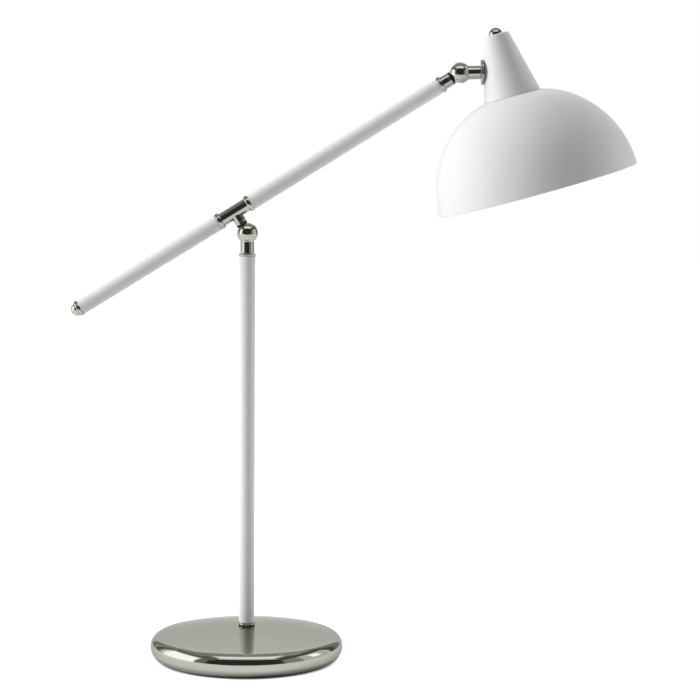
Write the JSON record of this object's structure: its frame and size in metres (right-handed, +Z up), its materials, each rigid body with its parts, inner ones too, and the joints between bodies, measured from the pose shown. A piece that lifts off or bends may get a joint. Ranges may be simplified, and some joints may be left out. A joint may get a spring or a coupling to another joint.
{
  "type": "swing arm desk lamp",
  "caption": "Desk lamp with a weighted round base, a column, an arm balanced on a slotted ball joint and a domed shade on a second ball joint.",
  "frame": {"origin": "middle of the base's underside, on the table", "axes": "+Z up the column; the arm swings in the XZ plane at rest, with the shade on the +X side and the cord inlet at +Y"},
  "size_m": [0.5672, 0.2048, 0.6409],
  "materials": {
    "polished_nickel": "polished",
    "white_paint": "satin",
    "zinc_steel": "satin",
    "cast_iron": "matte",
    "brass": "satin",
    "black_plastic": "satin",
    "white_plastic": "satin",
    "ceramic": "matte",
    "fibre": "matte",
    "pad_rubber": "matte",
    "frosted_glass": "satin"
  },
  "bodies": {
    "stand": {"base_pad": "pad_rubber", "base_weight": "cast_iron", "base_shell": "polished_nickel", "cord_bushing": "black_plastic", "base_washer": "zinc_steel", "base_locknut": "zinc_steel", "column_nipple": "zinc_steel", "column_foot": "polished_nickel", "column_tube": "white_paint", "column_ferrule": "polished_nickel"},
    "lower_swivel": {"lower_ball_housing": "polished_nickel", "lower_swivel_washer": "fibre", "lower_swivel_nut": "zinc_steel", "lower_pivot_screw": "zinc_steel", "lower_friction_disc_back": "fibre", "lower_friction_disc_front": "fibre"},
    "arm": {"lower_knuckle": "polished_nickel", "arm_tee": "polished_nickel", "rear_arm_tube": "white_paint", "front_arm_tube": "white_paint", "rear_end_plug": "polished_nickel", "counterweight": "zinc_steel", "front_ferrule": "polished_nickel", "rear_finial": "polished_nickel", "head_knuckle": "polished_nickel"},
    "head_joint": {"head_ball_housing": "polished_nickel", "head_pivot_screw": "zinc_steel", "head_friction_disc_back": "fibre", "head_friction_disc_front": "fibre", "head_flange": "polished_nickel", "head_nipple": "zinc_steel", "head_nipple_nut": "zinc_steel"},
    "shade": {"shade_flange": "polished_nickel", "shade_inner_saddle": "zinc_steel", "shade_dome": "white_paint", "shade_cone": "white_paint", "holder_stem": "zinc_steel", "lampholder_cap": "white_plastic", "lampholder_body": "white_plastic", "lampholder_core": "ceramic", "lampholder_sleeve": "brass", "centre_contact": "brass", "bulb_cap": "zinc_steel", "bulb_glass": "frosted_glass", "top_finial": "polished_nickel"}
  },
  "joints": [
    {"name": "arm_swivel", "type": "hinge", "parent": "stand", "child": "lower_swivel", "pos_m": [0, 0, 0.43499], "axis": [0, 0, 1], "range_deg": [-170, 170]},
    {"name": "arm_tilt", "type": "hinge", "parent": "lower_swivel", "child": "arm", "pos_m": [0, 0, 0.43499], "axis": [0, -1, 0], "range_deg": [-41.95, 34.05]},
    {"name": "head_tilt", "type": "hinge", "parent": "arm", "child": "head_joint", "pos_m": [0.21194, 0, 0.59593], "axis": [0, -1, 0], "range_deg": [-35, 60]},
    {"name": "shade_swivel", "type": "hinge", "parent": "head_joint", "child": "shade", "pos_m": [0.21194, 0, 0.59593], "axis": [0.9995, 0, 0.0316], "range_deg": [-170, 170]}
  ]
}
